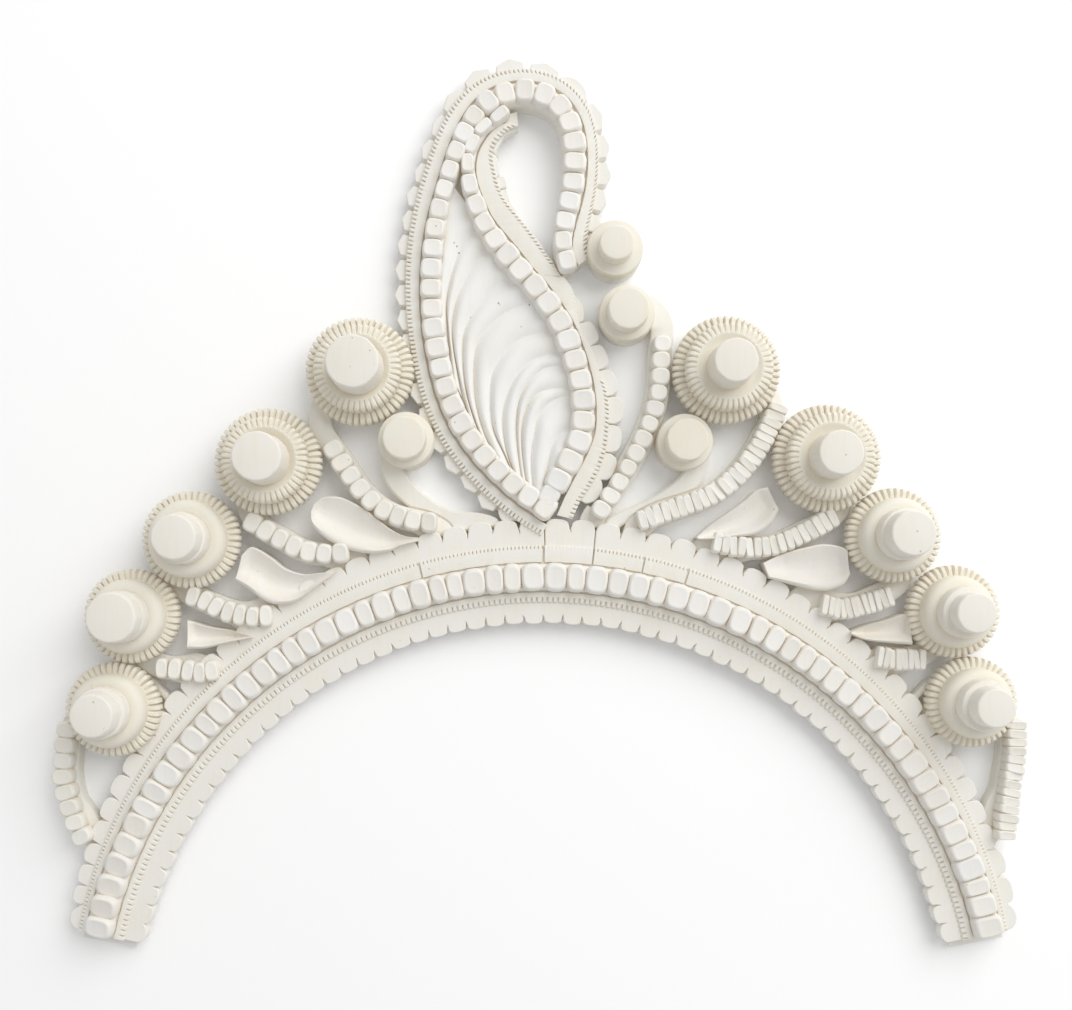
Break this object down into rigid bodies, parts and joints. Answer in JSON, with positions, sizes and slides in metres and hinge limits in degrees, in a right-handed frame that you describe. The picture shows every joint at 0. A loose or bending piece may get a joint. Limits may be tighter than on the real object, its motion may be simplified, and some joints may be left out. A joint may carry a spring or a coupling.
{
  "type": "mukut crown",
  "caption": "Flat arched bridal mukut of carved white pith: a beaded band, a paisley crest over its middle and rosettes on beaded stems to each side.",
  "frame": {"origin": "on the flat back of the arched band, at the top of the arch under the row of beads", "axes": "+Y up to the tip of the crest, +X to the right of someone who faces the carved front, +Z out of that front"},
  "size_m": [0.2391, 0.2187, 0.0229],
  "materials": {
    "pith_board": "bare cut pith, dull and unpainted",
    "pith_scallop": "bare cut pith, dull and unpainted",
    "pith_strip": "bare cut pith, dull and unpainted",
    "pith_bead": "bare cut pith, dull and unpainted",
    "pith_shell": "bare cut pith, dull and unpainted",
    "pith_rosette": "bare cut pith, dull and unpainted",
    "pith_cap": "bare cut pith, dull and unpainted",
    "pith_boss": "bare cut pith, dull and unpainted",
    "pith_stem": "bare cut pith, dull and unpainted",
    "pith_petal": "bare cut pith, dull and unpainted"
  },
  "bodies": {
    "root": {"band_beads": "pith_bead", "band_board": "pith_board", "band_inner_scallops": "pith_scallop", "band_inner_strip": "pith_strip", "band_outer_scallops": "pith_scallop", "band_outer_strip": "pith_strip", "crest_board": "pith_board", "crest_boss": "pith_boss", "crest_left_beads": "pith_bead", "crest_left_scallops": "pith_scallop", "crest_left_strip": "pith_strip", "crest_right_beads": "pith_bead", "crest_right_scallops": "pith_scallop", "crest_right_strip": "pith_strip", "crest_shell": "pith_shell", "crest_stem": "pith_stem", "hook_boss": "pith_boss", "left_boss": "pith_boss", "left_crescent": "pith_stem", "left_petal_1": "pith_petal", "left_petal_2": "pith_petal", "left_petal_3": "pith_petal", "left_rosette_1_base": "pith_rosette", "left_rosette_1_cap": "pith_cap", "left_rosette_2_base": "pith_rosette", "left_rosette_2_cap": "pith_cap", "left_rosette_3_base": "pith_rosette", "left_rosette_3_cap": "pith_cap", "left_rosette_4_base": "pith_rosette", "left_rosette_4_cap": "pith_cap", "left_rosette_5_base": "pith_rosette", "left_rosette_5_cap": "pith_cap", "left_stem_1": "pith_stem", "left_stem_2": "pith_stem", "left_stem_3": "pith_stem", "left_stem_4": "pith_stem", "left_stem_5": "pith_stem", "right_boss": "pith_boss", "right_crescent": "pith_stem", "right_petal_1": "pith_petal", "right_petal_2": "pith_petal", "right_petal_3": "pith_petal", "right_rosette_1_base": "pith_rosette", "right_rosette_1_cap": "pith_cap", "right_rosette_2_base": "pith_rosette", "right_rosette_2_cap": "pith_cap", "right_rosette_3_base": "pith_rosette", "right_rosette_3_cap": "pith_cap", "right_rosette_4_base": "pith_rosette", "right_rosette_4_cap": "pith_cap", "right_rosette_5_base": "pith_rosette", "right_rosette_5_cap": "pith_cap", "right_stem_1": "pith_stem", "right_stem_2": "pith_stem", "right_stem_3": "pith_stem", "right_stem_4": "pith_stem", "right_stem_5": "pith_stem"}
  },
  "joints": []
}
